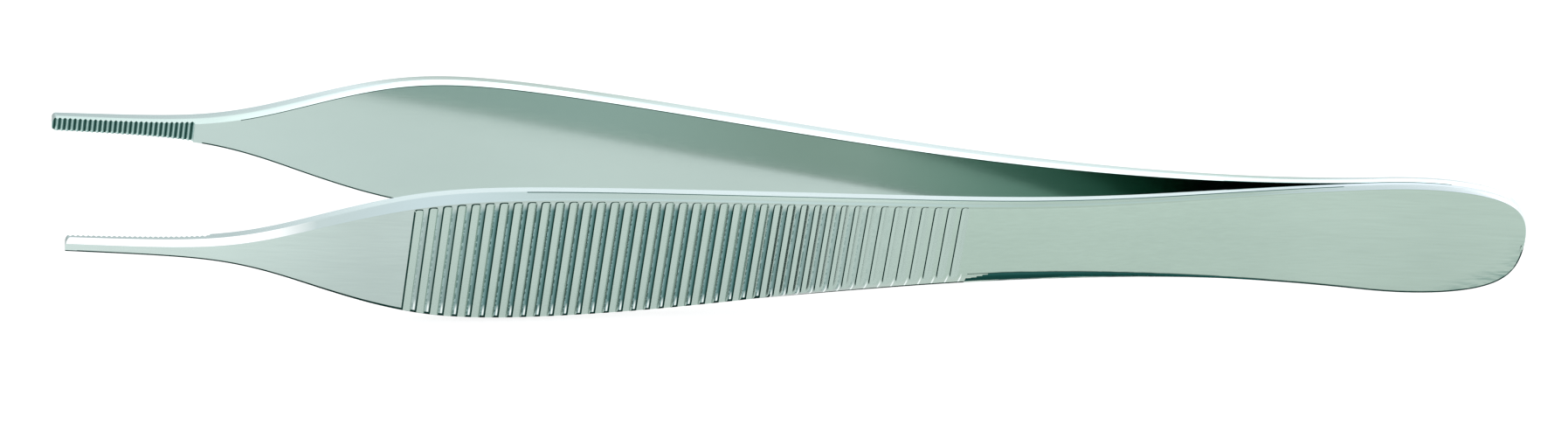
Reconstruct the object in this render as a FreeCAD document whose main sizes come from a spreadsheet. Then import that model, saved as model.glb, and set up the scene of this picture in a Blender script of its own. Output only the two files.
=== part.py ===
import FreeCAD, Part
import os
import Sketcher

# Thumb forceps: two sprung blades, welded face to face at the butt.
# A blade is drawn with its tip at x = 0, its weld face on y = 0 and its middle plane on z = 0.
# It is placed in the part's frame at the end. Lengths are in millimetres.

doc = FreeCAD.newDocument("thumb_forceps")
sheet = doc.addObject("Spreadsheet::Sheet", "sizes")

driving_sizes = [
    # runs along the blade from its tip, each one ending at the station that it is named for
    ("jaw_run", 6.0),
    ("neck_run", 7.0),
    ("shoulder_run", 7.0),
    ("front_run", 8.0),
    ("plate_run", 9.0),
    ("grip_run", 15.0),
    ("taper_run", 16.0),
    ("waist_run", 16.0),
    ("flare_run", 15.0),
    ("seat_run", 8.0),
    ("butt_run", 13.0),
    # half of the opening between the blades at each station, which is nothing from the flare on
    ("tip_opening", 8.02),
    ("jaw_opening", 7.88),
    ("neck_opening", 7.69),
    ("shoulder_opening", 7.60),
    ("front_opening", 7.67),
    ("plate_opening", 7.01),
    ("grip_opening", 5.15),
    ("taper_opening", 3.23),
    ("waist_opening", 1.77),
    # thickness of the blade at each station
    ("tip_thickness", 1.08),
    ("jaw_thickness", 1.30),
    ("neck_thickness", 1.50),
    ("shoulder_thickness", 1.55),
    ("front_thickness", 1.45),
    ("plate_thickness", 1.45),
    ("grip_thickness", 1.50),
    ("taper_thickness", 1.45),
    ("waist_thickness", 1.15),
    ("flare_thickness", 0.92),
    ("butt_thickness", 0.93),
    # half of the blade's width at each station
    ("tip_half_width", 0.60),
    ("jaw_half_width", 0.62),
    ("neck_half_width", 0.64),
    ("shoulder_half_width", 3.19),
    ("front_half_width", 5.95),
    ("plate_half_width", 6.12),
    ("grip_half_width", 5.22),
    ("taper_half_width", 4.15),
    ("waist_half_width", 3.53),
    ("flare_half_width", 4.42),
    ("seat_half_width", 5.07),
    # rounded butt: where its curve swells, and where it turns across the end
    ("butt_swell_run", 4.0),
    ("butt_corner_run", 11.4),
    ("butt_corner_half_width", 4.95),
    ("butt_end_half_width", 2.40),
    # both long edges are ground to a ridge: where it lies in the thickness, and how far its bevels reach in
    ("ridge_level", 0.48),
    ("inner_bevel", 0.06),
    ("jaw_bevel", 0.24),
    ("front_bevel", 0.62),
    ("plate_bevel", 0.42),
    ("handle_bevel", 0.16),
    ("lower_bevel", 0.85),
    ("butt_bevel", 0.12),
    # rounded corners of the tip, and how full their curve is
    ("tip_radius", 0.30),
    ("tip_fullness", 0.55),
    # grooves milled across the grip
    ("groove_start", 27.07),
    ("groove_pitch", 1.118),
    ("groove_width", 0.70),
    ("groove_count", 41),
    ("groove_first_depth", 0.18),
    ("groove_depth", 0.25),
    ("groove_last_depth", 0.10),
    ("groove_margin", 0.12),
    # teeth across the inner faces of the jaws
    ("tooth_pitch", 0.405),
    ("tooth_gap", 0.36),
    ("tooth_depth", 0.18),
    ("tooth_count", 28),
    ("tooth_recess", 0.16),
    # how far the cutting shapes reach past the metal
    ("cutter_reach", 3.0),
]

for row, (alias, number) in enumerate(driving_sizes, start=1):
    sheet.set("A%d" % row, alias.replace("_", " "))
    sheet.set("B%d" % row, str(number))
    sheet.setAlias("B%d" % row, alias)
doc.recompute()

station_names = [
    "tip", "jaw", "neck", "shoulder", "front", "plate", "grip", "taper", "waist", "flare", "seat",
]
closed_stations = ("flare", "seat")
upper_bevels = {
    "tip": "jaw",
    "jaw": "jaw",
    "neck": "jaw",
    "shoulder": "jaw",
    "front": "front",
    "plate": "plate",
    "grip": "handle",
    "taper": "handle",
    "waist": "handle",
    "flare": "butt",
    "seat": "butt",
}
lower_bevels = dict(upper_bevels, taper="lower", waist="lower")


def station_at(name):
    """Distance of a station from the tip, as an expression of the sheet."""
    runs = ["sizes.%s_run" % passed for passed in station_names[1:station_names.index(name) + 1]]
    return " + ".join(runs) if runs else "0"


def opening_at(name):
    return "0" if name in closed_stations else "sizes.%s_opening" % name


def thickness_at(name):
    return "sizes.butt_thickness" if name == "seat" else "sizes.%s_thickness" % name


butt_at = station_at("seat") + " + sizes.butt_run"
outside = "sizes.tip_opening + sizes.tip_thickness + sizes.cutter_reach"
far = "2 * (%s)" % outside


def value(expression):
    return float(sheet.evalExpression(expression))


def spline(points):
    """Clamped cubic spline through its first and last control points."""
    degree = 3
    spans = len(points) - degree
    curve = Part.BSplineCurve()
    multiplicities = [degree + 1] + [1] * (spans - 1) + [degree + 1]
    curve.buildFromPolesMultsKnots(points, multiplicities, list(range(spans + 1)), False, degree)
    return curve


def pin(sketch, index, vertex, x, y):
    """Bind a point of a sketch to two expressions, measured from the sketch's origin."""
    for kind, axis, expression in (("DistanceX", -2, x), ("DistanceY", -1, y)):
        number = value(expression)
        if abs(number) < 1e-9:
            sketch.addConstraint(Sketcher.Constraint("PointOnObject", index, vertex, axis))
        elif number > 0:
            made = sketch.addConstraint(Sketcher.Constraint(kind, -1, 1, index, vertex, number))
            sketch.setExpression("Constraints[%d]" % made, expression)
        else:
            made = sketch.addConstraint(Sketcher.Constraint(kind, index, vertex, -1, 1, -number))
            sketch.setExpression("Constraints[%d]" % made, "-(%s)" % expression)


def draw_spline(sketch, points):
    """Draw a spline with each control point pinned to its pair of expressions."""
    index = sketch.addGeometry(spline([FreeCAD.Vector(value(x), value(y), 0) for x, y in points]), False)
    sketch.exposeInternalGeometry(index)
    for step, (x, y) in enumerate(points, start=1):
        pin(sketch, index + step, 3, x, y)


def draw_lines(sketch, points):
    """Draw straight lines from point to point, each end pinned to its pair of expressions."""
    for first, second in zip(points, points[1:]):
        ends = [FreeCAD.Vector(value(x), value(y), 0) for x, y in (first, second)]
        index = sketch.addGeometry(Part.LineSegment(*ends), False)
        pin(sketch, index, 1, *first)
        pin(sketch, index, 2, *second)


def new_sketch(body, name, role):
    """Add a sketch on one of the body's own origin planes."""
    sketch = body.newObject("Sketcher::SketchObject", name)
    planes = {feature.Role: feature for feature in body.Origin.OriginFeatures}
    sketch.AttachmentSupport = (planes[role], [""])
    sketch.MapMode = "FlatFace"
    return sketch


def pad(body, name, sketch, length):
    """Pad a sketch to both sides of its plane."""
    feature = body.newObject("PartDesign::Pad", name)
    feature.Profile = sketch
    feature.SideType = "Symmetric"
    feature.setExpression("Length", length)
    return feature


def repeat(body, name, feature, sketch, pitch, count):
    """Repeat a pad along the sketch's own x axis."""
    pattern = body.newObject("PartDesign::LinearPattern", name)
    pattern.Originals = [feature]
    pattern.Direction = (sketch, ["H_Axis"])
    pattern.Mode = "Spacing"
    pattern.setExpression("Offset", pitch)
    pattern.setExpression("Occurrences", count)
    body.Tip = pattern


def bevel_at(name, line, edge):
    """How far a line of the blade lies in from its ridge, on the upper or the lower edge."""
    if line == "ridge":
        return "0"
    if line == "inner":
        return "sizes.inner_bevel"
    bevels = upper_bevels if edge > 0 else lower_bevels
    return "sizes.%s_bevel" % bevels[name]


def rail(side, edge, line, level):
    """Control points of one of the six lines along the blade."""
    points = []
    for name in station_names:
        y = value("%s + %s * %s" % (opening_at(name), level, thickness_at(name)))
        z = value("sizes.%s_half_width - %s" % (name, bevel_at(name, line, edge)))
        points.append(FreeCAD.Vector(value(station_at(name)), side * y, edge * z))
    return points


def butt_rail(side, edge, line, level):
    """Control points of the same line round one half of the butt."""
    inset = value(bevel_at("seat", line, edge))
    seat = value(station_at("seat"))
    seat_width = value("sizes.seat_half_width")
    slope = (seat_width - value("sizes.flare_half_width")) / value("sizes.seat_run")
    swell = value("sizes.butt_swell_run")
    end = value(butt_at)
    corner = value("sizes.butt_corner_run")
    corner_width = value("sizes.butt_corner_half_width")
    end_width = value("sizes.butt_end_half_width")
    y = side * value("%s * sizes.butt_thickness" % level)
    outline = [
        (seat, seat_width - inset),
        (seat + swell, seat_width + slope * swell - inset),
        (seat + corner - inset / 2, corner_width - inset),
        (end - inset, end_width - inset / 2),
        (end - inset, 0.0),
    ]
    return [FreeCAD.Vector(x, y, edge * z) for x, z in outline]


def make_blank(name, side):
    """Blade before it is milled: six curved lines joined by ruled faces, closed at tip and butt."""
    levels = {"inner": "0", "ridge": "sizes.ridge_level", "outer": "1"}
    long_lines = {}
    butt_lines = {}
    for line, level in levels.items():
        for edge in (1, -1):
            long_lines[line, edge] = spline(rail(side, edge, line, level)).toShape()
            butt_lines[line, edge] = spline(butt_rail(side, edge, line, level)).toShape()
    upper = [("inner", 1), ("ridge", 1), ("outer", 1)]
    lower = [("outer", -1), ("ridge", -1), ("inner", -1)]
    around = upper + lower
    faces = []
    for first, second in zip(around, around[1:] + around[:1]):
        faces.append(Part.makeRuledSurface(long_lines[first], long_lines[second]))
        if first[1] == second[1]:
            faces.append(Part.makeRuledSurface(butt_lines[first], butt_lines[second]))
    for line in ("inner", "outer"):
        halves = [butt_lines[line, 1], butt_lines[line, -1]]
        seam = Part.makeLine(*[half.Vertexes[0].Point for half in halves])
        faces.append(Part.Face(Part.Wire([seam] + halves)))
    corners = [long_lines[key].Vertexes[0].Point for key in around]
    faces.append(Part.Face(Part.makePolygon(corners + corners[:1])))
    shell = Part.makeShell(faces)
    shell.sewShape()
    solid = Part.makeSolid(shell)
    if solid.Volume < 0:
        solid.reverse()
    blank = doc.addObject("Part::Feature", name + "_blank")
    blank.Shape = solid
    return blank


def make_groove_cutter(name, side):
    """Bars across the grip, kept to the depth of the grooves and short of the upper edge."""
    bars = doc.addObject("PartDesign::Body", name + "_bars")
    bar_sketch = new_sketch(bars, name + "_bar_outline", "XZ_Plane")
    left = "sizes.groove_start"
    right = "sizes.groove_start + sizes.groove_width"
    half = "sizes.plate_half_width + sizes.cutter_reach"
    ring = [(left, "-(%s)" % half), (right, "-(%s)" % half), (right, half), (left, half)]
    draw_lines(bar_sketch, ring + ring[:1])
    bar = pad(bars, name + "_bar", bar_sketch, far)
    repeat(bars, name + "_bar_row", bar, bar_sketch, "sizes.groove_pitch", "sizes.groove_count")

    skin = doc.addObject("PartDesign::Body", name + "_skin")
    skin_sketch = new_sketch(skin, name + "_groove_floor", "XY_Plane")
    depths = {
        "front": "sizes.groove_first_depth",
        "plate": "sizes.groove_depth",
        "grip": "sizes.groove_depth",
        "taper": "sizes.groove_depth",
        "waist": "sizes.groove_last_depth",
    }
    floor = []
    for station in station_names:
        depth = depths.get(station, "-sizes.groove_depth")
        height = "%d * (%s + %s - %s)" % (side, opening_at(station), thickness_at(station), depth)
        floor.append((station_at(station), height))
    draw_spline(skin_sketch, floor)
    cover = "%d * (%s)" % (side, outside)
    draw_lines(skin_sketch, [floor[-1], (station_at("seat"), cover), ("0", cover), floor[0]])
    pad(skin, name + "_skin_pad", skin_sketch, "2 * (%s)" % half)

    window = doc.addObject("PartDesign::Body", name + "_window")
    window_sketch = new_sketch(window, name + "_groove_ends", "XZ_Plane")
    upper = []
    for station in station_names:
        inset = "%s - sizes.groove_margin" % bevel_at(station, "outer", 1)
        upper.append((station_at(station), "sizes.%s_half_width - %s" % (station, inset)))
    draw_spline(window_sketch, upper)
    below = "-(%s)" % half
    draw_lines(window_sketch, [upper[-1], (station_at("seat"), below), ("0", below), upper[0]])
    pad(window, name + "_window_pad", window_sketch, far)

    cutter = doc.addObject("Part::MultiCommon", name + "_groove_cutter")
    cutter.Shapes = [bars, skin, window]
    return cutter


def make_tooth_cutter(name, side):
    """Shallow recess over the jaw's inner face with a row of notches in its floor."""
    cutter = doc.addObject("PartDesign::Body", name + "_tooth_cutter")
    length = "sizes.tooth_pitch * sizes.tooth_count"
    wide = "2 * (sizes.neck_half_width + sizes.cutter_reach)"
    recess_sketch = new_sketch(cutter, name + "_recess", "XY_Plane")
    start = "-sizes.tooth_pitch"
    floor = "%d * sizes.tooth_recess" % side
    above = "-%d * sizes.cutter_reach" % side
    ring = [(start, above), (length, above), (length, floor), (start, floor)]
    draw_lines(recess_sketch, ring + ring[:1])
    pad(cutter, name + "_recess_pad", recess_sketch, wide)

    notch_sketch = new_sketch(cutter, name + "_notch", "XY_Plane")
    phase = "sizes.tooth_pitch / 2" if side > 0 else "0"
    left = "%s - sizes.tooth_gap / 2" % phase
    right = "%s + sizes.tooth_gap / 2" % phase
    point = "%d * (sizes.tooth_recess + sizes.tooth_depth)" % side
    ring = [(left, floor), (right, floor), (phase, point)]
    draw_lines(notch_sketch, ring + ring[:1])
    notch = pad(cutter, name + "_notch_pad", notch_sketch, wide)
    repeat(cutter, name + "_notch_row", notch, notch_sketch, "sizes.tooth_pitch", "sizes.tooth_count")

    slope = "%d * atan((sizes.jaw_opening - sizes.tip_opening) / sizes.jaw_run)" % side
    cutter.setExpression("Placement.Base.y", "%d * sizes.tip_opening" % side)
    cutter.setExpression("Placement.Rotation.Angle", slope)
    return cutter


def make_nose_cutter(name):
    """What the two rounded corners of the tip leave standing, as a block to cut away."""
    cutter = doc.addObject("PartDesign::Body", name + "_nose_cutter")
    sketch = new_sketch(cutter, name + "_nose", "XZ_Plane")
    wide = "sizes.tip_half_width + sizes.cutter_reach"
    flat = "(sizes.tip_half_width - sizes.tip_radius)"
    handle = "sizes.tip_radius * sizes.tip_fullness"
    for sign in ("", "-"):
        draw_spline(sketch, [
            ("sizes.tip_radius", sign + "sizes.tip_half_width"),
            ("sizes.tip_radius - %s" % handle, sign + "sizes.tip_half_width"),
            ("0", "%s(%s + %s)" % (sign, flat, handle)),
            ("0", sign + flat),
        ])
    draw_lines(sketch, [("0", flat), ("0", "-" + flat)])
    draw_lines(sketch, [
        ("sizes.tip_radius", "sizes.tip_half_width"),
        ("sizes.tip_radius", wide),
        ("-sizes.cutter_reach", wide),
        ("-sizes.cutter_reach", "-(%s)" % wide),
        ("sizes.tip_radius", "-(%s)" % wide),
        ("sizes.tip_radius", "-sizes.tip_half_width"),
    ])
    pad(cutter, name + "_nose_pad", sketch, far)
    return cutter


def make_blade(name, side):
    """One finished blade, on the side of the middle plane that the sign gives."""
    worked = make_blank(name, side)
    cutters = [make_groove_cutter(name, side), make_tooth_cutter(name, side), make_nose_cutter(name)]
    for step, cutter in enumerate(cutters, start=1):
        cut = doc.addObject("Part::Cut", "%s_cut_%d" % (name, step))
        cut.Base = worked
        cut.Tool = cutter
        worked = cut
    worked.Label = name
    return worked


blades = [make_blade("front_blade", -1), make_blade("rear_blade", 1)]
doc.recompute()

for blade in blades:
    lowest = blade.Shape.optimalBoundingBox(True).ZMin
    blade.Placement.Base = FreeCAD.Vector(-value(butt_at) / 2, 0, -lowest)
doc.recompute()

for thing in doc.Objects:
    if "Invalid" in thing.State or "Error" in thing.State:
        raise RuntimeError("%s did not compute" % thing.Label)
for blade in blades:
    if blade.Shape.isNull() or not blade.Shape.isValid() or len(blade.Shape.Solids) != 1:
        raise RuntimeError("%s is not one valid solid" % blade.Label)

os.makedirs("parts", exist_ok=True)
for blade in blades:
    blade.Shape.exportStep("parts/%s.step" % blade.Label)
    print(blade.Label, "volume", round(blade.Shape.Volume, 2))
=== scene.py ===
import math

import bmesh
import bpy
from mathutils import Matrix, Vector


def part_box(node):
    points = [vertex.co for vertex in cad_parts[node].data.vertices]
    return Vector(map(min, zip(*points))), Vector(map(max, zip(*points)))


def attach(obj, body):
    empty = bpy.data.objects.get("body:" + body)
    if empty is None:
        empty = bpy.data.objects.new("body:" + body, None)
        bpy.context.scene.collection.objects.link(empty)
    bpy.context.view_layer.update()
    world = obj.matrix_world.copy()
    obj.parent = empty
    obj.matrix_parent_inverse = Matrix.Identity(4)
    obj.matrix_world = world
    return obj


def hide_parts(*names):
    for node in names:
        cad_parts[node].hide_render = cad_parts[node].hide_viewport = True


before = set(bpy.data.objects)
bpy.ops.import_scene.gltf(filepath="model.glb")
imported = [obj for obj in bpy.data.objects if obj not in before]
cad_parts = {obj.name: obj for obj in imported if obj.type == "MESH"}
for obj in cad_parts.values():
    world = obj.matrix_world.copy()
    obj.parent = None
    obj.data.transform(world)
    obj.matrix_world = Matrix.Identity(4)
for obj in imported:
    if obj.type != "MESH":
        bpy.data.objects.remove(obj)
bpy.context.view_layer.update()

scene = bpy.context.scene
mm = 0.001  # the frame is in metres, the sizes below are in millimetres
sharpFrom = 13  # degrees: the ridge is the bluntest edge that has to stay crisp
tolerance = {"pick": 1e-4, "merge": 1e-5, "touch": 1e-6}  # millimetres

# finishes and painted shades of each form, in the order of their slots
finishAndShadeSlots = {
    "body": ("skin", "ridgeLine", "lowerShadeBand", "lowLine"),
    "grooveBars": ("milled", "grooveShade"),
    "jawRecess": ("toothed",),
    "jawNotches": ("toothed", "shaded", "toothRootShade"),
    "noseBlock": ("skin",),
}

# A blade is worked out from its tip at x = 0, with its middle plane at z = 0.
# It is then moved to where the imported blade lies, on its long edge.
# Rows of its outline: -1 on the inner face, 0 the edge of that face, 1 beside the seam, 2 the ridge,
# 3 the line along the ridge, and from 4 on the rounding up to the outer face.
blade = {
    "runs": [6.0, 7.0, 7.0, 8.0, 9.0, 15.0, 16.0, 16.0, 15.0, 8.0],  # from station to station, tip to butt
    "opening": [8.02, 7.88, 7.69, 7.60, 7.67, 7.01, 5.15, 3.23, 1.77, 0.0, 0.0],  # middle plane to inner face
    "thickness": [1.08, 1.30, 1.50, 1.55, 1.45, 1.45, 1.50, 1.45, 1.15, 0.92, 0.93],
    "halfWidth": [0.60, 0.62, 0.64, 3.19, 5.95, 6.12, 5.22, 4.15, 3.53, 4.42, 5.07],
    "upperBevel": [0.24, 0.24, 0.24, 0.24, 0.62, 0.42, 0.16, 0.16, 0.16, 0.12, 0.12],
    "lowerBevel": [0.24, 0.24, 0.24, 0.24, 0.62, 0.42, 0.16, 1.40, 0.85, 0.12, 0.12],
    "rearUpperBevel": [0.03, 0.03, 0.03, 0.04, 0.14, 0.14, 0.06, 0.05, 0.05, 0.05, 0.12],
    "upperRoll": [0.0, 0.0, 0.0, 0.0, 0.1, 0.7, 1.0, 1.0, 1.0, 0.5, 0.4],  # 0 crisp bevel, 1 rolled into the face
    "lowerRoll": [0.0, 0.0, 0.1, 0.2, 0.2, 0.4, 0.4, 0.5, 0.5, 0.4, 0.4],
    "rearUpperRoll": [0.0, 0.0, 0.0, 0.0, 0.1, 0.1, 0.0, 0.0, 0.0, 0.1, 0.4],
    # rounding where a bevel meets the face: its reach into the face, and its share of the bevel
    "upperCrisp": (0.02, 0.03),
    "lowerCrisp": (0.20, 0.25),
    "rearUpperCrisp": (0.02, 0.03),
    "rolled": (0.45, 0.50),
    "upperRidgeLine": 0.09,  # width of the dark line along the ridge
    "rearUpperRidgeLine": 0.09,
    "lowerRidgeLine": 0.24,
    "seamLine": 0.05,  # the same beside the weld's seam, on each blade
    "upperInnerLine": 0.07,  # and along the edges of the inner face
    "rearUpperInnerLine": 0.07,
    "lowerInnerLine": 0.13,
    # a thin line lies between two rows, on the upper edge 1 or the lower -1 of the front blade -1 or the rear 1;
    # its finish, and where it runs in millimetres from the tip
    "lines": [
        ({2, 3}, 1, (-1,), "ridgeLine", 36.0, 104.0),
        ({0, 1}, 1, (-1, 1), "ridgeLine", 94.0, 113.0),
        ({-1, 0}, 1, (1,), "lowLine", 15.0, 97.0),
        ({-1, 0}, -1, (-1, 1), "lowLine", 12.0, 107.0),
        ({2, 3}, -1, (-1,), "lowLine", 48.0, 73.0),
    ],
    "innerBevel": 0.06,
    "ridge": 0.48,  # share of the thickness at which the ridge of the edge lies
    "buttSwell": 4.0,
    "buttCorner": 11.4,
    "buttCornerWidth": 4.95,
    "buttRun": 13.0,
    "buttEndWidth": 2.40,
    "buttEndFlat": 0.5,  # the face that closes the butt lies within this of its end
    "noseRadius": 0.42,
    "noseSteps": 8,
    "noseBlock": (3.0, 12.0),  # the cutter's reach past the tip, and across both blades
    "sections": 300,  # along the straight part
    "buttSections": 60,
    "rollRows": 10,
    # painted shade: the dark band of the lower bevel under the handle
    "bandFrom": 73.0,
    "bandTo": 98.0,
    "bandHeight": 1.5,  # how far up from the ridge it reaches
    "bandStart": 0.35,  # share of that where it starts, and the length over which it gets there
    "bandRise": 4.5,
    "clearFrom": 57.0,  # from here to the band, the grooves cut the lower bevel away
    # a face gets painted shade where its normal looks down or along the blade past these, and outwards
    "bandLooksDown": -0.22,
    "lineLooksDown": -0.12,
    "rimLooksDown": -0.02,
    "rimLooksAlong": 0.25,
    "looksOut": 0.02,
    "rimFrom": 6.0,  # past the start of the butt
}
groove = {
    "start": 27.07,
    "pitch": 1.118,
    "width": 0.62,
    "count": 41,
    "depth": [-0.25, -0.25, -0.25, -0.20, 0.20, 0.26, 0.26, 0.26, 0.12, -0.25, -0.25],
    "margin": 0.17,  # left between a groove's round end and the upper bevel
    "cornerRadius": 0.20,
    "cornerSteps": 4,
    "wallLean": 0.03,
    "lipDepth": 0.09,
    "lipShare": 0.4,  # of a shallow groove's depth
    "buttFlare": 0.06,  # how far the wall nearer the butt opens out, the other wall, and the round end
    "buttFlareFade": 3,  # power of the depth, so that the last grooves show one line only
    "tipFlare": 0.14,
    "endFlare": 0.27,
    "slant": 0.26,  # how far the wall nearer the butt leans back in the last grooves, which fade into the handle
    "slantFrom": 22,
    "slantTo": 34,
    "standOff": 1.2,  # how far the cutter stands out of the face, and runs out past the lower edge
    "runOut": 2.0,
    "turnStep": 0.01,  # share of the blade either side of a groove from which its turn is taken
    # a face of the cutter leaves a wall painted dark as shade where its normal looks to the tip, or up but not to the
    # butt
    "looksToTip": -0.3,
    "looksUp": 0.1,
    "looksToButt": 0.25,
}
tooth = {
    "pitch": 0.405,
    "gap": 0.36,
    "depth": 0.18,
    "count": 28,
    "recess": 0.16,
    "root": 0.62,  # share of the depth at which the root's painted shade starts
    "lap": 0.006,  # how far a notch's cutter stands out of the recess
    "ahead": 1.0,  # reach of the cutters past the tip, over the jaw and across it
    "above": 2.0,
    "across": 3.0,
    "looksToTip": -0.3,  # a flank that looks further to the tip than this is in shade
}
stationAt = [sum(blade["runs"][:i]) for i in range(len(blade["runs"]) + 1)]
buttFlange = stationAt[-1]
bladeLength = buttFlange + blade["buttRun"]
faceRow = blade["rollRows"] + 4  # where the rounding ends and the outer face starts


def basis(count, at):  # weights of a cubic spline's control values
    arcs = count - 3
    knots = [0.0] * 3 + [float(i) for i in range(arcs + 1)] + [float(arcs)] * 3
    u = min(max(at, 0.0), 1.0) * arcs
    last = min(int(u), arcs - 1) + 3
    row = [1.0]
    for degree in range(1, 4):
        grown = [0.0] * (degree + 1)
        for i, share in enumerate(row):
            low = knots[last + 1 - degree + i]
            high = knots[last + 1 + i]
            part = (u - low) / (high - low)
            grown[i] += share * (1.0 - part)
            grown[i + 1] += share * part
        row = grown
    weights = [0.0] * count
    weights[last - 3:last + 1] = row
    return weights


def mixed(weights, values):
    return sum(w * v for w, v in zip(weights, values))


def atDistance(x):  # the spline's own place for a distance from the tip
    low, high = 0.0, 1.0
    for _ in range(40):
        middle = (low + high) / 2
        if mixed(basis(len(stationAt), middle), stationAt) < x:
            low = middle
        else:
            high = middle
    return low


def grooveTop(weights):  # height of the grooves' round ends over the middle plane
    return mixed(weights, blade["halfWidth"]) - mixed(weights, blade["upperBevel"]) - groove["margin"]


def bevelPoint(row, thickness, bevel, roll, crisp, lines):
    # in from the ridge, and down from the outer face
    ridge = Vector((0.0, thickness * (1 - blade["ridge"])))
    knee = Vector((bevel, 0.0))
    inner = Vector((blade["innerBevel"], thickness))
    if row < 0:
        return inner + Vector((lines[0], 0.0))
    if row == 0:
        return inner
    if row == 1:
        return inner + (ridge - inner).normalized() * blade["seamLine"]
    if row == 2:
        return ridge
    if row == 3:
        return ridge + (knee - ridge).normalized() * lines[1]
    reach, share = (sharp + (soft - sharp) * roll for sharp, soft in zip(crisp, blade["rolled"]))
    start = knee.lerp(ridge, share)
    finish = knee + Vector((reach, 0.0))
    t = (row - 4) / blade["rollRows"]
    return start * (1 - t) ** 2 + knee * 2 * t * (1 - t) + finish * t ** 2


def sectionPoint(place, row, edge, side=-1):
    # place runs from 0 to 1 along the stations, and on to 2 around the butt
    name = "lower" if edge < 0 else "upper" if side < 0 else "rearUpper"
    bevels, rolls, crisp = (blade[name + kind] for kind in ("Bevel", "Roll", "Crisp"))
    lines = [blade[name + kind] for kind in ("InnerLine", "RidgeLine")]
    straight = place <= 1.0
    if straight:
        weights = basis(len(stationAt), place)
        opening, thickness, bevel, roll = (
            mixed(weights, values) for values in (blade["opening"], blade["thickness"], bevels, rolls)
        )
    else:
        weights = basis(5, place - 1.0)
        opening, thickness, bevel, roll = 0.0, blade["thickness"][-1], bevels[-1], rolls[-1]
    inset, drop = bevelPoint(row, thickness, bevel, roll, crisp, lines)
    if straight:
        x = mixed(weights, stationAt)
        z = mixed(weights, blade["halfWidth"]) - inset
    else:
        wide = blade["halfWidth"][-1]
        slope = (wide - blade["halfWidth"][-2]) / blade["runs"][-1]
        end = bladeLength - inset
        x = mixed(weights, [
            buttFlange, buttFlange + blade["buttSwell"], buttFlange + blade["buttCorner"] - inset / 2, end, end,
        ])
        z = mixed(weights, [
            wide - inset, wide + slope * blade["buttSwell"] - inset, blade["buttCornerWidth"] - inset,
            blade["buttEndWidth"] - inset / 2, 0.0,
        ])
    return x, opening + thickness - drop, edge * z


def vertsOf(geometry):
    return [v for v in geometry if isinstance(v, bmesh.types.BMVert)]


def everything(bm):
    return bm.verts[:] + bm.edges[:] + bm.faces[:]


def fillHoles(bm):
    bmesh.ops.holes_fill(bm, edges=[e for e in bm.edges if e.is_boundary])


def prism(outline, run):  # an outline pulled out along run, left open where it started
    bm = bmesh.new()
    base = bm.faces.new([bm.verts.new(point) for point in outline])
    grown = bmesh.ops.extrude_face_region(bm, geom=[base])["geom"]
    bmesh.ops.translate(bm, verts=vertsOf(grown), vec=run)
    return bm


def block(low, high):
    bm = bmesh.new()
    bmesh.ops.create_cube(bm, size=1.0)
    for v in bm.verts:
        v.co = [top if part > 0 else bottom for part, bottom, top in zip(v.co, low, high)]
    return bm


def finishAndShadeOf(face, side):
    # the finish of a face of the body, with painted shade where a face looks down; a face of a thin line carries the
    # line's number
    middle = face.calc_center_median()
    if face.material_index:
        *_, finish, start, stop = blade["lines"][face.material_index - 1]
        return finish if start < middle.x < stop else "skin"
    down, outward = face.normal.z, face.normal.y * side > blade["looksOut"]
    onBand = blade["bandFrom"] < middle.x < blade["bandTo"]
    if onBand and outward and down < blade["bandLooksDown"]:
        wide = mixed(basis(len(stationAt), atDistance(middle.x)), blade["halfWidth"])
        share = min(1.0, blade["bandStart"] + (middle.x - blade["bandFrom"]) / blade["bandRise"])
        return "lowerShadeBand" if middle.z < blade["bandHeight"] * share - wide else "skin"
    cutAway = blade["clearFrom"] < middle.x < blade["bandFrom"]
    if outward and down < blade["lineLooksDown"] and not cutAway:
        return "lowLine"
    onRim = middle.x > buttFlange + blade["rimFrom"] and face.normal.x > blade["rimLooksAlong"]
    return "lowLine" if onRim and outward and down < blade["rimLooksDown"] else "skin"


def bladeBody(side):
    rows = range(-1, faceRow + 1)
    outline = [(row, 1) for row in rows] + [(row, -1) for row in reversed(rows)]
    bm = prism([(0.0, row, edge) for row, edge in outline], (1.0, 0.0, 0.0))  # 1 long, whatever the blade's length
    lengthwise = [e for e in bm.edges if abs(e.verts[0].co.x - e.verts[1].co.x) > 0.5]
    straight = blade["sections"]
    steps = straight + blade["buttSections"]
    bmesh.ops.subdivide_edges(bm, edges=lengthwise, cuts=steps - 1)
    for f in bm.faces:
        between = {round(v.co.y) for v in f.verts}
        for i, (ends, edge, sides, *_) in enumerate(blade["lines"]):
            if between == ends and side in sides and all(v.co.z == edge for v in f.verts):
                f.material_index = i + 1
    for v in bm.verts:  # the straight prism becomes the blade, section by section
        step = round(v.co.x * steps)
        place = step / straight if step <= straight else 1.0 + (step - straight) / blade["buttSections"]
        x, y, z = sectionPoint(place, round(v.co.y), 1 if v.co.z > 0 else -1, side)
        v.co = (x, side * y, z)
    farEnd = bladeLength - blade["buttEndFlat"]
    endFaces = [f for f in bm.faces if len(f.verts) > 4 and all(v.co.x > farEnd for v in f.verts)]
    bmesh.ops.delete(bm, geom=endFaces, context="FACES_ONLY")
    bmesh.ops.remove_doubles(bm, verts=bm.verts, dist=tolerance["merge"])
    bmesh.ops.dissolve_degenerate(bm, edges=bm.edges, dist=tolerance["touch"])
    fillHoles(bm)
    bmesh.ops.recalc_face_normals(bm, faces=bm.faces)
    for f in bm.faces:
        f.material_index = finishAndShadeSlots["body"].index(finishAndShadeOf(f, side))
    return bm


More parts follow.
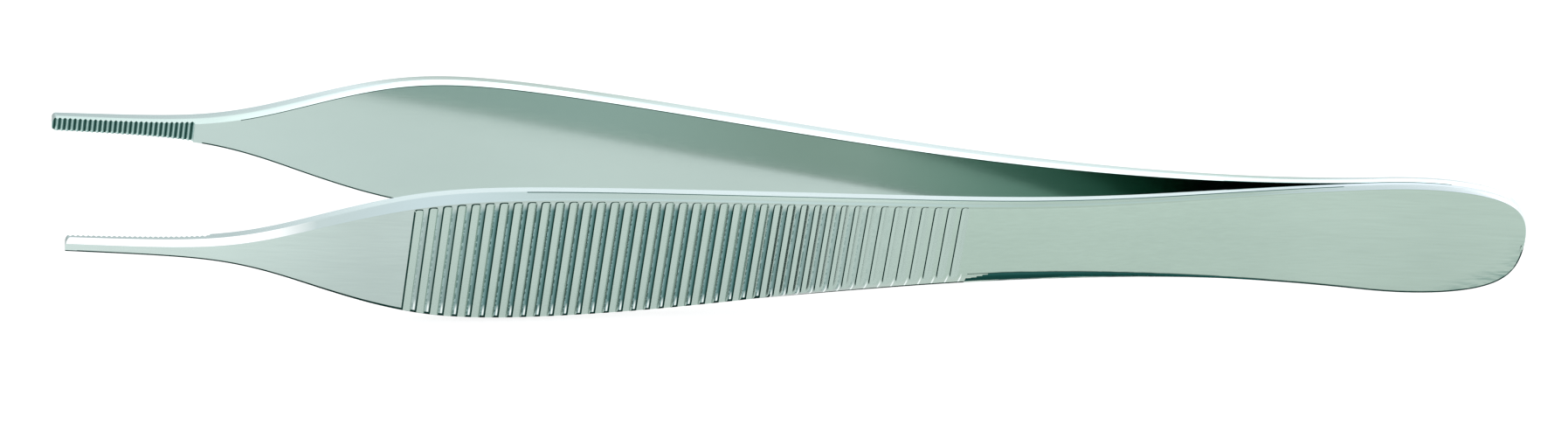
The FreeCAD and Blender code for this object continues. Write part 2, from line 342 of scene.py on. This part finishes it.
def noseCutter():
    # what the two rounded corners of the tip leave standing
    radius, half, steps = blade["noseRadius"], blade["halfWidth"][0], blade["noseSteps"]
    reach, across = blade["noseBlock"]
    angles = [math.pi / 2 * i / steps for i in range(steps + 1)]
    upper = [(radius * (1 - math.sin(a)), half - radius * (1 - math.cos(a))) for a in angles]
    ring = upper + [(x, -z) for x, z in reversed(upper)]
    ring += [(radius, -reach), (-reach, -reach), (-reach, reach), (radius, reach)]
    bm = prism([(x, -across, z) for x, z in ring], (0.0, 2 * across, 0.0))
    fillHoles(bm)
    bmesh.ops.recalc_face_normals(bm, faces=bm.faces)
    return bm


def grooveBar(i, side):
    middle = groove["start"] + groove["pitch"] * i + groove["width"] / 2
    place = atDistance(middle)
    weights = basis(len(stationAt), place)
    depth = mixed(weights, groove["depth"])
    surface = sectionPoint(place, faceRow, 1)[1]
    ahead = sectionPoint(place + groove["turnStep"], faceRow, 1)
    behind = sectionPoint(place - groove["turnStep"], faceRow, 1)
    turn = math.atan2(ahead[1] - behind[1], ahead[0] - behind[0])
    half = groove["width"] / 2
    top = grooveTop(weights)
    low = -mixed(weights, blade["halfWidth"]) - groove["runOut"]
    bar = block((-half, -depth, low), (half, groove["standOff"], top))
    corners = [
        e for e in bar.edges if all(abs(v.co.z - top) < tolerance["touch"] for v in e.verts)
        and abs(e.verts[0].co.y - e.verts[1].co.y) > groove["standOff"] / 2
    ]
    bmesh.ops.bevel(
        bar, geom=corners, offset=groove["cornerRadius"], affect="EDGES", segments=groove["cornerSteps"],
        profile=0.5, material=-1,
    )
    lip = min(groove["lipDepth"], depth * groove["lipShare"])
    for level in (-lip, lip):
        bmesh.ops.bisect_plane(
            bar, geom=everything(bar), plane_co=(0, level, 0), plane_no=(0, 1, 0), dist=tolerance["touch"],
        )
    slanted = min(max((i - groove["slantFrom"]) / (groove["slantTo"] - groove["slantFrom"]), 0.0), 1.0)
    deepness = depth / max(groove["depth"])
    for v in bar.verts:
        toTip = toEnd = 0.0
        toButt = slanted * groove["slant"] * min(v.co.y / depth, 0.0)
        if v.co.y < -depth + tolerance["pick"]:
            toTip = toEnd = -groove["wallLean"]
            toButt -= groove["wallLean"]
        elif v.co.y > lip - tolerance["pick"]:  # as far outside the face as the lip is deep, so twice the flare
            toTip = 2 * groove["tipFlare"]
            toButt = 2 * groove["buttFlare"] * deepness ** groove["buttFlareFade"]
            toEnd = 2 * groove["endFlare"] * lip / groove["lipDepth"]
        if v.co.z > top - groove["cornerRadius"] - tolerance["pick"]:
            v.co.z += toEnd
        v.co.x *= 1 + (toButt if v.co.x > 0 else toTip) / half
    bmesh.ops.recalc_face_normals(bar, faces=bar.faces)
    for f in bar.faces:
        onWall = f.normal.x < groove["looksToTip"]
        onEnd = f.normal.z > groove["looksUp"] and f.normal.x < groove["looksToButt"]
        f.material_index = finishAndShadeSlots["grooveBars"].index("grooveShade" if onWall or onEnd else "milled")
    lay = Matrix.Translation((middle, surface, 0)) @ Matrix.Rotation(turn, 4, "Z")
    bmesh.ops.transform(bar, matrix=Matrix.Diagonal((1, side, 1, 1)) @ lay, verts=bar.verts)
    bmesh.ops.recalc_face_normals(bar, faces=bar.faces)
    return bar


def grooveCutter(side):
    bars = bmesh.new()
    for i in range(groove["count"]):
        bar = grooveBar(i, side)
        copy = bpy.data.meshes.new("bar")
        bar.to_mesh(copy)
        bar.free()
        bars.from_mesh(copy)
        bpy.data.meshes.remove(copy)
    return bars


def jawCutters(side):
    slope = math.atan2(blade["opening"][1] - blade["opening"][0], blade["runs"][0])
    lay = Matrix.Diagonal((1, side, 1, 1)) @ Matrix.Translation((0, blade["opening"][0], 0))
    lay = lay @ Matrix.Rotation(slope, 4, "Z")
    length, across = tooth["pitch"] * tooth["count"], tooth["across"]
    recess = block((-tooth["ahead"], -tooth["above"], -across), (length, tooth["recess"], across))
    point = tooth["recess"] + tooth["depth"]
    mouth = tooth["recess"] - tooth["lap"]
    half = tooth["gap"] / 2 * (point - mouth) / tooth["depth"]
    notches = prism([(-half, mouth, -across), (half, mouth, -across), (0.0, point, -across)], (0, 0, 2 * across))
    fillHoles(notches)
    root = tooth["recess"] + tooth["root"] * tooth["depth"]
    bmesh.ops.bisect_plane(
        notches, geom=everything(notches), plane_co=(0, root, 0), plane_no=(0, 1, 0), dist=tolerance["touch"],
    )
    toothed, shaded, toothRootShade = range(len(finishAndShadeSlots["jawNotches"]))
    for f in notches.faces:
        f.material_index = toothRootShade if f.calc_center_median().y > root else toothed
    # the rear jaw's teeth stand half a pitch along, so that the jaws mesh
    bmesh.ops.translate(notches, verts=notches.verts, vec=(tooth["pitch"] / 2 if side > 0 else 0.0, 0, 0))
    first = everything(notches)
    for i in range(1, tooth["count"]):
        new = bmesh.ops.duplicate(notches, geom=first)["geom"]
        bmesh.ops.translate(notches, verts=vertsOf(new), vec=(tooth["pitch"] * i, 0, 0))
    for cutter in (recess, notches):
        bmesh.ops.transform(cutter, matrix=lay, verts=cutter.verts)
        bmesh.ops.recalc_face_normals(cutter, faces=cutter.faces)
    for f in notches.faces:
        if f.material_index == toothed and f.normal.x < tooth["looksToTip"]:
            f.material_index = shaded
    return recess, notches


def newObject(name, bm):
    mesh = bpy.data.meshes.new(name)
    bm.to_mesh(mesh)
    bm.free()
    made = bpy.data.objects.new(name, mesh)
    scene.collection.objects.link(made)
    return made


def cutFrom(target, cutters):
    for cutter in cutters:
        step = target.modifiers.new("cut", "BOOLEAN")
        step.operation = "DIFFERENCE"
        step.solver = "EXACT"
        step.material_mode = "TRANSFER"
        step.object = cutter
    bpy.context.view_layer.update()
    graph = bpy.context.evaluated_depsgraph_get()
    finished = bpy.data.meshes.new_from_object(target.evaluated_get(graph))
    target.modifiers.clear()
    target.data = finished
    for cutter in cutters:
        bpy.data.objects.remove(cutter)


def makeBlade(name, node, side):
    made = newObject(name, bladeBody(side))
    recess, notches = jawCutters(side)
    forms = {"grooveBars": grooveCutter(side), "jawRecess": recess, "jawNotches": notches, "noseBlock": noseCutter()}
    cutters = [newObject(kind, form) for kind, form in forms.items()]
    for piece, kind in zip([made] + cutters, ["body"] + list(forms)):
        for finish in finishAndShadeSlots[kind]:
            piece.data.materials.append(finishesAndShades[finish])
    cutFrom(made, cutters)
    low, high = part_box(node)
    made.data.transform(Matrix.Translation((low.x, 0.0, (low.z + high.z) / 2)) @ Matrix.Scale(mm, 4))
    made.data.shade_smooth()
    made.data.set_sharp_from_angle(angle=math.radians(sharpFrom))
    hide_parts(node)
    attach(made, "root")
    print(name, "faces", len(made.data.polygons))


def linear(code):
    parts = [int(code[i:i + 2], 16) / 255 for i in (1, 3, 5)]
    return [p / 12.92 if p <= 0.04045 else ((p + 0.055) / 1.055) ** 2.4 for p in parts] + [1.0]


def addNode(tree, kind, settings=None, inputs=None):
    node = tree.nodes.new(kind)
    for name, value in (settings or {}).items():
        setattr(node, name, value)
    for name, source in (inputs or {}).items():
        if isinstance(source, bpy.types.NodeSocket):
            tree.links.new(source, node.inputs[name])
        else:
            node.inputs[name].default_value = source
    return node


def fillRamp(node, stops):
    ramp = node.color_ramp
    while len(ramp.elements) < len(stops):
        ramp.elements.new(0.5)
    for element, (place, _) in zip(ramp.elements, stops):
        element.position = place
    for element, (_, colour) in zip(ramp.elements, stops):
        element.color = colour


def layered(tree, colour, layers):
    # each finish covers the ones before it where all its ramps are up
    for ramps, finish in layers:
        amount = 1.0
        for value, start, stop in ramps:
            ramp = addNode(tree, "ShaderNodeMapRange", None, {"Value": value, "From Min": start, "From Max": stop})
            amount = addNode(tree, "ShaderNodeMath", {"operation": "MULTIPLY"}, {
                0: ramp.outputs[0], 1: amount,
            }).outputs[0]
        colour = addNode(tree, "ShaderNodeMix", {"data_type": "RGBA"}, {
            "Factor": amount, 6: colour, 7: finish,
        }).outputs[2]
    return colour


# size in millimetres of a mark of the polish, along the blade and across it, and its detail
polish = {
    "cloud": ((14.0, 5.0, 5.0), 3.0),
    "brush": ((3.0, 0.12, 0.12), 4.0),
}
brushHeight = 0.004  # millimetres


def steel(name, tones, roughness, brushing=0.15, grazing="#ffffff", marks=None):
    material = bpy.data.materials.new(name)
    material.use_nodes = True
    tree = material.node_tree
    tree.nodes.clear()
    place = addNode(tree, "ShaderNodeTexCoord").outputs["Object"]
    parts = {"tree": tree, "place": place}
    for mark, (size, detail) in {**polish, **(marks or {})}.items():
        spread = addNode(tree, "ShaderNodeMapping", None, {"Vector": place, "Scale": [1 / (s * mm) for s in size]})
        parts[mark] = addNode(tree, "ShaderNodeTexNoise", None, {
            "Vector": spread.outputs[0], "Scale": 1.0, "Detail": detail,
        }).outputs[0]
    parts["tone"] = addNode(tree, "ShaderNodeMix", {"data_type": "RGBA"}, {
        "Factor": parts["cloud"], 6: linear(tones[0]), 7: linear(tones[1]),
    }).outputs[2]
    parts["rough"] = addNode(tree, "ShaderNodeMapRange", None, {
        "Value": parts["brush"], "To Min": roughness[0], "To Max": roughness[1],
    }).outputs[0]
    bump = addNode(tree, "ShaderNodeBump", None, {
        "Height": parts["brush"], "Strength": brushing, "Distance": brushHeight * mm,
    })
    parts["shader"] = addNode(tree, "ShaderNodeBsdfPrincipled", None, {
        "Metallic": 1.0, "Base Color": parts["tone"], "Roughness": parts["rough"], "Normal": bump.outputs[0],
        "Specular Tint": linear(grazing),
    })
    addNode(tree, "ShaderNodeOutputMaterial", None, {"Surface": parts["shader"].outputs[0]})
    return material, parts


ground = {
    # millimetres from the tip, and the steel's cast there
    "faceCast": [
        (0.0, "#cbdad6"), (12.0, "#c8d8d3"), (24.0, "#bac9c5"), (60.0, "#bbccc6"), (72.0, "#b0c4b9"),
        (90.0, "#b0c4b9"), (104.0, "#b3c6bc"), (113.0, "#afc2b8"),
    ],
    "outerCast": [
        (0.0, "#b9c3c2"), (20.0, "#bccac9"), (30.0, "#bccac9"), (42.0, "#b0c1bb"), (64.0, "#b2c3bd"),
        (78.0, "#a2b5ac"), (96.0, "#a2b5ac"), (103.0, "#b6c5c6"), (112.0, "#c8d4d8"), (119.0, "#e4ecef"),
    ],
    "innerEdgeCast": [
        (0.0, "#8f9e9c"), (13.0, "#97a5a3"), (24.0, "#b6c4c3"), (92.0, "#bccac9"), (101.0, "#b8c6c9"),
        (112.0, "#c8d4d8"), (119.0, "#e4ecef"),
    ],
    "innerCast": [(0.0, "#bccdc9"), (32.0, "#bdcec9"), (46.0, "#c0d1cc"), (107.0, "#c0d1cc")],
    "frontInnerCast": "#b0c1b8",
    # painted shade for the rear blade's outer edge, and a painted highlight for the front blade's
    "rearOuterShade": "#9cada7",
    "frontOuterHighlight": "#ffffff",
    "innerPolish": 0.08,  # how much smoother the inner face is
    # burr and strokes are drawn about twice too coarse, so that they show
    "marks": {
        "streak": ((1.5, 0.2, 0.2), 3.0),
        "strokes": ((9.0, 0.6, 0.6), 3.0),
        "burr": ((1.1, 1.1, 0.3), 3.0),
    },
    "markSpan": (0.3, 0.7),  # the part of a mark's noise that counts
    "markDepth": {"brush": 0.95, "strokes": 0.98},  # how dark a mark gets on the outer face
    "levelReach": 8.0,  # millimetres that the curve of the grooves' round ends spans, and its points
    "levelSteps": 8,
    # share of the way across a crest, from its tip side: a duller crest tone, with painted shade darkening it towards
    # the butt side
    "crestToneAndShade": [(0.10, "#86a4a2"), (0.32, "#6c8f8e"), (0.55, "#4a7170"), (0.74, "#264c46")],
    # share of the way along the grip
    "crestStrength": [(0.0, 0.30), (0.06, 0.65), (0.12, 0.95), (0.60, 1.0), (0.72, 0.55), (0.82, 0.12), (0.88, 0.0)],
    "gripHalf": 0.4995,  # of the grip's length either side of its middle
    "burr": "#43655f",
    # painted highlight near each crest's lower end
    "paintedGlint": "#eaf5f2",
    "close": "#5a9080",
    # painted shade of the band on the lower bevel under the handle
    "lower": "#1f4743",
    "smudge": "#7b968e",
}
# where a finish starts to show and where it covers fully: by the turn of the face, by the side,
# by millimetres from the tip or from the blade's middle, or by the share of a crest or a mark
spans = {
    "edge": (0.88, 0.68),
    "innerEdge": (0.14, 0.08),
    "outerEdge": (0.12, 0.2),
    "inside": (-0.5, -0.7),
    "outerFace": (0.7, 0.95),
    "front": (0.5, -0.5),
    "rear": (-0.5, 0.5),
    "rearEdgeEnd": (104.0, 100.0),
    "frontHighlightEnd": (19.5, 15.9),  # painted highlight: the front blade's outer bevel is painted bright up to the shoulder
    "frontInner": (42.0, 60.0),
    "within": (0.0, 1.0),
    "crestFace": (0.4, 0.6),
    "crestFade": (0.1, 0.7),  # millimetres below the grooves' round ends
    "burrEdge": (0.30, 0.22),
    "burrFade": (0.4, 0.9),
    "burrShare": (0.47, 0.53),
    "glintEnd": (1.1, 0.5),  # millimetres above the grooves' lower ends
    "glintRise": (0.30, 0.40),
    "glintFall": (0.66, 0.56),
    "close": (65.0, 98.0),
    "bandEdge": (-0.03, -0.20),
    "bandFace": (0.0, 0.1),
    "bandUp": (74.5, 76.0),
    "bandStreak": (0.30, 0.55),
    "smudgeRim": (0.88, 1.08),  # share of the butt's half width, from its middle out
    "smudgeStreak": (0.40, 0.62),
    "smudgeFrom": (112.5, 116.5),
    "smudgeBelow": (1.5, -1.0),
    "smudgeFace": (0.5, 0.8),
}


def groundStainless():
    # the blades' ground skin, cooler at the grip, greener towards the butt, with painted shade on its lower bevel,
    # its rear outer edge and across its crests, and painted highlights on the front outer edge and at the crests'
    # lower ends
    material, parts = steel("groundStainless", ("#f0f2f1", "#fbfcfb"), (0.17, 0.25), 0.08, marks=ground["marks"])
    tree, shader = parts["tree"], parts["shader"]
    low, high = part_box("front_blade")
    onBlade = addNode(tree, "ShaderNodeVectorMath", {"operation": "MULTIPLY_ADD"}, {
        0: parts["place"], 1: (1 / mm, 1 / mm, 1 / mm), 2: (-low.x / mm, 0.0, -(low.z + high.z) / 2 / mm),
    }).outputs[0]
    axes = addNode(tree, "ShaderNodeSeparateXYZ", None, {"Vector": onBlade}).outputs
    fromTip, across, fromMiddle = axes["X"], axes["Y"], axes["Z"]
    facing = addNode(tree, "ShaderNodeSeparateXYZ", None, {
        "Vector": addNode(tree, "ShaderNodeNewGeometry").outputs["Normal"],
    }).outputs
    away = addNode(tree, "ShaderNodeMath", {"operation": "SIGN"}, {0: across}).outputs[0]
    outward = addNode(tree, "ShaderNodeMath", {"operation": "MULTIPLY"}, {0: facing["Y"], 1: away}).outputs[0]
    steep = addNode(tree, "ShaderNodeMath", {"operation": "ABSOLUTE"}, {0: outward}).outputs[0]

    # own casts for the outer face, the ground edges and the inner face, with painted shade on the rear blade's outer
    # edge and a painted highlight on the front blade's outer edge near the tip
    along = addNode(tree, "ShaderNodeMath", {"operation": "DIVIDE"}, {0: fromTip, 1: bladeLength}).outputs[0]
    casts = {}
    for name in ("faceCast", "outerCast", "innerEdgeCast", "innerCast"):
        ramp = addNode(tree, "ShaderNodeValToRGB", None, {"Fac": along})
        fillRamp(ramp, [(at / bladeLength, linear(code)) for at, code in ground[name]])
        casts[name] = ramp.outputs[0]
    onEdge = (steep, *spans["edge"])
    onOuterEdge = (outward, *spans["outerEdge"])
    onInside = (outward, *spans["inside"])
    onFront, onRear = (away, *spans["front"]), (away, *spans["rear"])
    cast = layered(tree, casts["faceCast"], [
        ([onEdge], casts["outerCast"]),
        ([onEdge, (outward, *spans["innerEdge"])], casts["innerEdgeCast"]),
        ([onEdge, onOuterEdge, onRear, (fromTip, *spans["rearEdgeEnd"])], linear(ground["rearOuterShade"])),
        ([onEdge, onOuterEdge, onFront, (fromTip, *spans["frontHighlightEnd"])], linear(ground["frontOuterHighlight"])),
        ([onInside], casts["innerCast"]),
        ([onInside, onFront, (fromTip, *spans["frontInner"])], linear(ground["frontInnerCast"])),
    ])
    onFace = addNode(tree, "ShaderNodeMapRange", None, {
        "Value": outward, "From Min": spans["outerFace"][0], "From Max": spans["outerFace"][1],
    }).outputs[0]
    shades = [(1.0, cast)]
    for mark, depth in ground["markDepth"].items():
        shades.append((onFace, addNode(tree, "ShaderNodeMapRange", None, {
            "Value": parts[mark], "From Min": ground["markSpan"][0], "From Max": ground["markSpan"][1],
            "To Min": depth, "To Max": 1.0,
        }).outputs[0]))
    colour = parts["tone"]
    for amount, shade in shades:
        colour = addNode(tree, "ShaderNodeMix", {"data_type": "RGBA", "blend_type": "MULTIPLY"}, {
            "Factor": amount, 6: colour, 7: shade,
        }).outputs[2]
    inside = addNode(tree, "ShaderNodeMapRange", None, {
        "Value": outward, "From Min": spans["inside"][0], "From Max": spans["inside"][1],
        "To Max": ground["innerPolish"],
    }).outputs[0]
    polished = addNode(tree, "ShaderNodeMath", {"operation": "SUBTRACT"}, {0: parts["rough"], 1: inside}).outputs[0]
    tree.links.new(polished, shader.inputs["Roughness"])

    # crests between the grooves: how far across one, along the grip, and below or above its ends
    first = groove["start"] + groove["width"]
    last = groove["start"] + groove["pitch"] * groove["count"]
    row = addNode(tree, "ShaderNodeMapRange", {"clamp": False}, {
        "Value": fromTip, "From Min": first, "From Max": first + groove["pitch"],
    }).outputs[0]
    step = addNode(tree, "ShaderNodeMath", {"operation": "FRACT"}, {0: row}).outputs[0]
    phase = addNode(tree, "ShaderNodeMapRange", None, {
        "Value": step, "From Max": 1 - groove["width"] / groove["pitch"],
    }).outputs[0]
    grip = addNode(tree, "ShaderNodeMapRange", None, {
        "Value": fromTip, "From Min": first, "From Max": last,
    }).outputs[0]
    height = addNode(tree, "ShaderNodeFloatCurve", None, {"Value": grip})
    curve = height.mapping.curves[0]
    for i in range(ground["levelSteps"] + 1):
        share = i / ground["levelSteps"]
        top = grooveTop(basis(len(stationAt), atDistance(first + (last - first) * share)))
        if 0 < share < 1:
            curve.points.new(share, top / ground["levelReach"])
        else:
            curve.points[0 if i == 0 else -1].location = (share, top / ground["levelReach"])
    height.mapping.update()
    level = addNode(tree, "ShaderNodeMath", {"operation": "MULTIPLY"}, {
        0: height.outputs[0], 1: ground["levelReach"],
    }).outputs[0]
    under = addNode(tree, "ShaderNodeMath", {"operation": "SUBTRACT"}, {0: level, 1: fromMiddle}).outputs[0]
    overEnd = addNode(tree, "ShaderNodeMath", {"operation": "ADD"}, {0: level, 1: fromMiddle}).outputs[0]
    within = addNode(tree, "ShaderNodeMath", {"operation": "COMPARE"}, {
        0: grip, 1: 0.5, 2: ground["gripHalf"],
    }).outputs[0]
    strength = addNode(tree, "ShaderNodeValToRGB", None, {"Fac": grip})
    fillRamp(strength, [(at, (value, value, value, 1.0)) for at, value in ground["crestStrength"]])
    crestToneAndShade = addNode(tree, "ShaderNodeValToRGB", None, {"Fac": phase})
    fillRamp(crestToneAndShade, [(at, linear(code)) for at, code in ground["crestToneAndShade"]])
    onCrest = [(within, *spans["within"]), (outward, *spans["crestFace"])]
    # on a crest: the crest's duller tone with painted shade, and the burr
    crestShadeAndBurr = onCrest + [(strength.outputs[0], *spans["within"])]

    # the butt's rim, from its middle out
    rim = addNode(tree, "ShaderNodeVectorMath", {"operation": "MULTIPLY_ADD"}, {
        0: onBlade, 1: (1 / blade["buttRun"], 0.0, 1 / blade["halfWidth"][-1]),
        2: (-buttFlange / blade["buttRun"], 0.0, 0.0),
    }).outputs[0]
    outer = addNode(tree, "ShaderNodeVectorMath", {"operation": "LENGTH"}, {0: rim}).outputs["Value"]
    colour = layered(tree, colour, [
        # crest tone with painted shade growing towards the butt side
        (crestShadeAndBurr + [(under, *spans["crestFade"])], crestToneAndShade.outputs[0]),
        (crestShadeAndBurr + [
            (phase, *spans["burrEdge"]), (under, *spans["burrFade"]), (parts["burr"], *spans["burrShare"]),
        ], linear(ground["burr"])),
        # painted highlight: a short glint near each crest's lower end
        (onCrest + [
            (overEnd, *spans["glintEnd"]), (phase, *spans["glintRise"]), (phase, *spans["glintFall"]),
        ], linear(ground["paintedGlint"])),
        # inner faces darken towards the weld, where no light gets in
        ([onInside, (fromTip, *spans["close"])], linear(ground["close"])),
        # painted shade: the dark band of the lower bevel under the handle
        ([
            (facing["Z"], *spans["bandEdge"]), (outward, *spans["bandFace"]), (fromTip, *spans["bandUp"]),
            (parts["streak"], *spans["bandStreak"]),
        ], linear(ground["lower"])),
        # handling marks along the lower rim of the butt
        ([
            (outer, *spans["smudgeRim"]), (parts["streak"], *spans["smudgeStreak"]),
            (fromTip, *spans["smudgeFrom"]), (fromMiddle, *spans["smudgeBelow"]), (outward, *spans["smudgeFace"]),
        ], linear(ground["smudge"])),
    ])
    tree.links.new(colour, shader.inputs["Base Color"])
    return material


studio = {
    "azimuth": -13.247,
    "elevation": 33.194,
    "tilt": 9.578,
    "distance": 613.2,
    "lens": 175.31,
    "sensor": 36.0,
    "nearest": 10.0,  # nothing closer to the camera is drawn
    "aimAlong": -1.639,
    "aimUp": -0.619,
    "floorSize": 3.0,  # metres
    "paper": "#818181",
    "paperRoughness": 0.9,
    "paperLight": "#ffffff",
    "paperGlow": 0.85,
    # soft light tent: degrees from the far side's horizon over the top to the near side's, brightness and tint
    "tent": [
        (0, 1.2, "#ffffff"), (14, 1.25, "#ffffff"), (18, 1.6, "#fafaff"), (30, 1.6, "#fafaff"), (35, 2.8, "#ffffff"),
        (50, 2.8, "#ffffff"), (54, 1.2, "#ffffff"), (60, 1.2, "#ffffff"), (90, 1.3, "#f8faff"), (118, 1.5, "#f2f7ff"),
        (140, 1.1, "#ffffff"), (180, 1.0, "#ffffff"),
    ],
}


def makeCamera():
    low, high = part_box("front_blade")
    turn, rise, tilt = (math.radians(studio[key]) for key in ("azimuth", "elevation", "tilt"))
    back = Vector((math.sin(turn) * math.cos(rise), -math.cos(turn) * math.cos(rise), math.sin(rise)))
    level = Vector((math.cos(turn), math.sin(turn), 0.0))
    steep = back.cross(level)
    right = level * math.cos(tilt) + steep * math.sin(tilt)
    up = steep * math.cos(tilt) - level * math.sin(tilt)
    middle = Vector(((low.x + high.x) / 2, 0.0, (low.z + high.z) / 2))
    aim = middle + (right * studio["aimAlong"] + up * studio["aimUp"]) * mm
    camera = bpy.data.objects.new("camera", bpy.data.cameras.new("camera"))
    camera.data.lens = studio["lens"]
    camera.data.sensor_width = studio["sensor"]
    camera.data.clip_start = studio["nearest"] * mm
    turned = Matrix((right, up, back)).transposed().to_4x4()
    camera.matrix_world = Matrix.Translation(aim + back * studio["distance"] * mm) @ turned
    scene.collection.objects.link(camera)
    scene.camera = camera
    print("camera set")


def makeStudio():
    scene.view_settings.view_transform = "Standard"
    floorMesh = bmesh.new()
    bmesh.ops.create_grid(floorMesh, x_segments=1, y_segments=1, size=studio["floorSize"] / 2)
    floor = newObject("floor", floorMesh)
    paper = bpy.data.materials.new("litPaper")  # lit from behind, so that it shows next to no shadow
    paper.use_nodes = True
    inputs = paper.node_tree.nodes["Principled BSDF"].inputs
    inputs["Base Color"].default_value = linear(studio["paper"])
    inputs["Roughness"].default_value = studio["paperRoughness"]
    inputs["Emission Color"].default_value = linear(studio["paperLight"])
    inputs["Emission Strength"].default_value = studio["paperGlow"]
    floor.data.materials.append(paper)
    world = bpy.data.worlds.new("softTent")
    scene.world = world
    world.use_nodes = True
    tree = world.node_tree
    axes = addNode(tree, "ShaderNodeSeparateXYZ", None, {
        "Vector": addNode(tree, "ShaderNodeTexCoord").outputs["Generated"],
    })
    angle = addNode(tree, "ShaderNodeMath", {"operation": "ARCTAN2"}, {0: axes.outputs["Z"], 1: axes.outputs["Y"]})
    place = addNode(tree, "ShaderNodeMath", {"operation": "DIVIDE"}, {0: angle.outputs[0], 1: math.pi})
    tent = addNode(tree, "ShaderNodeValToRGB", None, {"Fac": place.outputs[0]})
    brightest = max(power for _, power, _ in studio["tent"])
    fillRamp(tent, [
        (at / 180, [part * power / brightest for part in linear(code)[:3]] + [1.0])
        for at, power, code in studio["tent"]
    ])
    background = tree.nodes["Background"].inputs
    tree.links.new(tent.outputs[0], background["Color"])
    background["Strength"].default_value = brightest
    print("studio lit")


finishesAndShades = {
    "skin": groundStainless(),
    # groove floors, finely milled and lighter than the crests
    "milled": steel("milledStainless", ("#a9bcb4", "#b3c5bd"), (0.22, 0.32))[0],
    # steep groove walls and their round ends: painted shade, the dark line beside each groove
    "grooveShade": steel("grooveShadeStainless", ("#16332e", "#2c4b45"), (0.35, 0.45), grazing="#49645f")[0],
    # jaw teeth, bright on one flank, with painted shade on the other and darker painted shade down in the root
    "toothed": steel("toothStainless", ("#a2bdb7", "#bdd2ce"), (0.20, 0.30))[0],
    "shaded": steel("toothShadeStainless", ("#6c8f8b", "#86a7a3"), (0.30, 0.40), grazing="#9fb5b1")[0],
    "toothRootShade": steel("toothRootShadeStainless", ("#4a706a", "#628880"), (0.35, 0.45), grazing="#7d9894")[0],
    # dark line along the ridge of the upper edge, and beside the weld's seam
    "ridgeLine": steel("ridgeStainless", ("#38544f", "#56726d"), (0.35, 0.45), grazing="#7d9491")[0],
    # lower bevel under the handle: a band of painted shade
    "lowerShadeBand": steel("lowerBevelShadeStainless", ("#234843", "#3d6a66"), (0.35, 0.50), brushing=0.4, grazing="#3f6662")[0],
    # painted shade where only a thin dark line shows along the lower edges
    "lowLine": steel("lowerEdgeShadeStainless", ("#142e2a", "#274a44"), (0.35, 0.50), grazing="#2c4c47")[0],
}
print("finishesAndShades", len(finishesAndShades))
makeCamera()
makeStudio()
makeBlade("frontBlade", "front_blade", -1)
makeBlade("rearBlade", "rear_blade", 1)
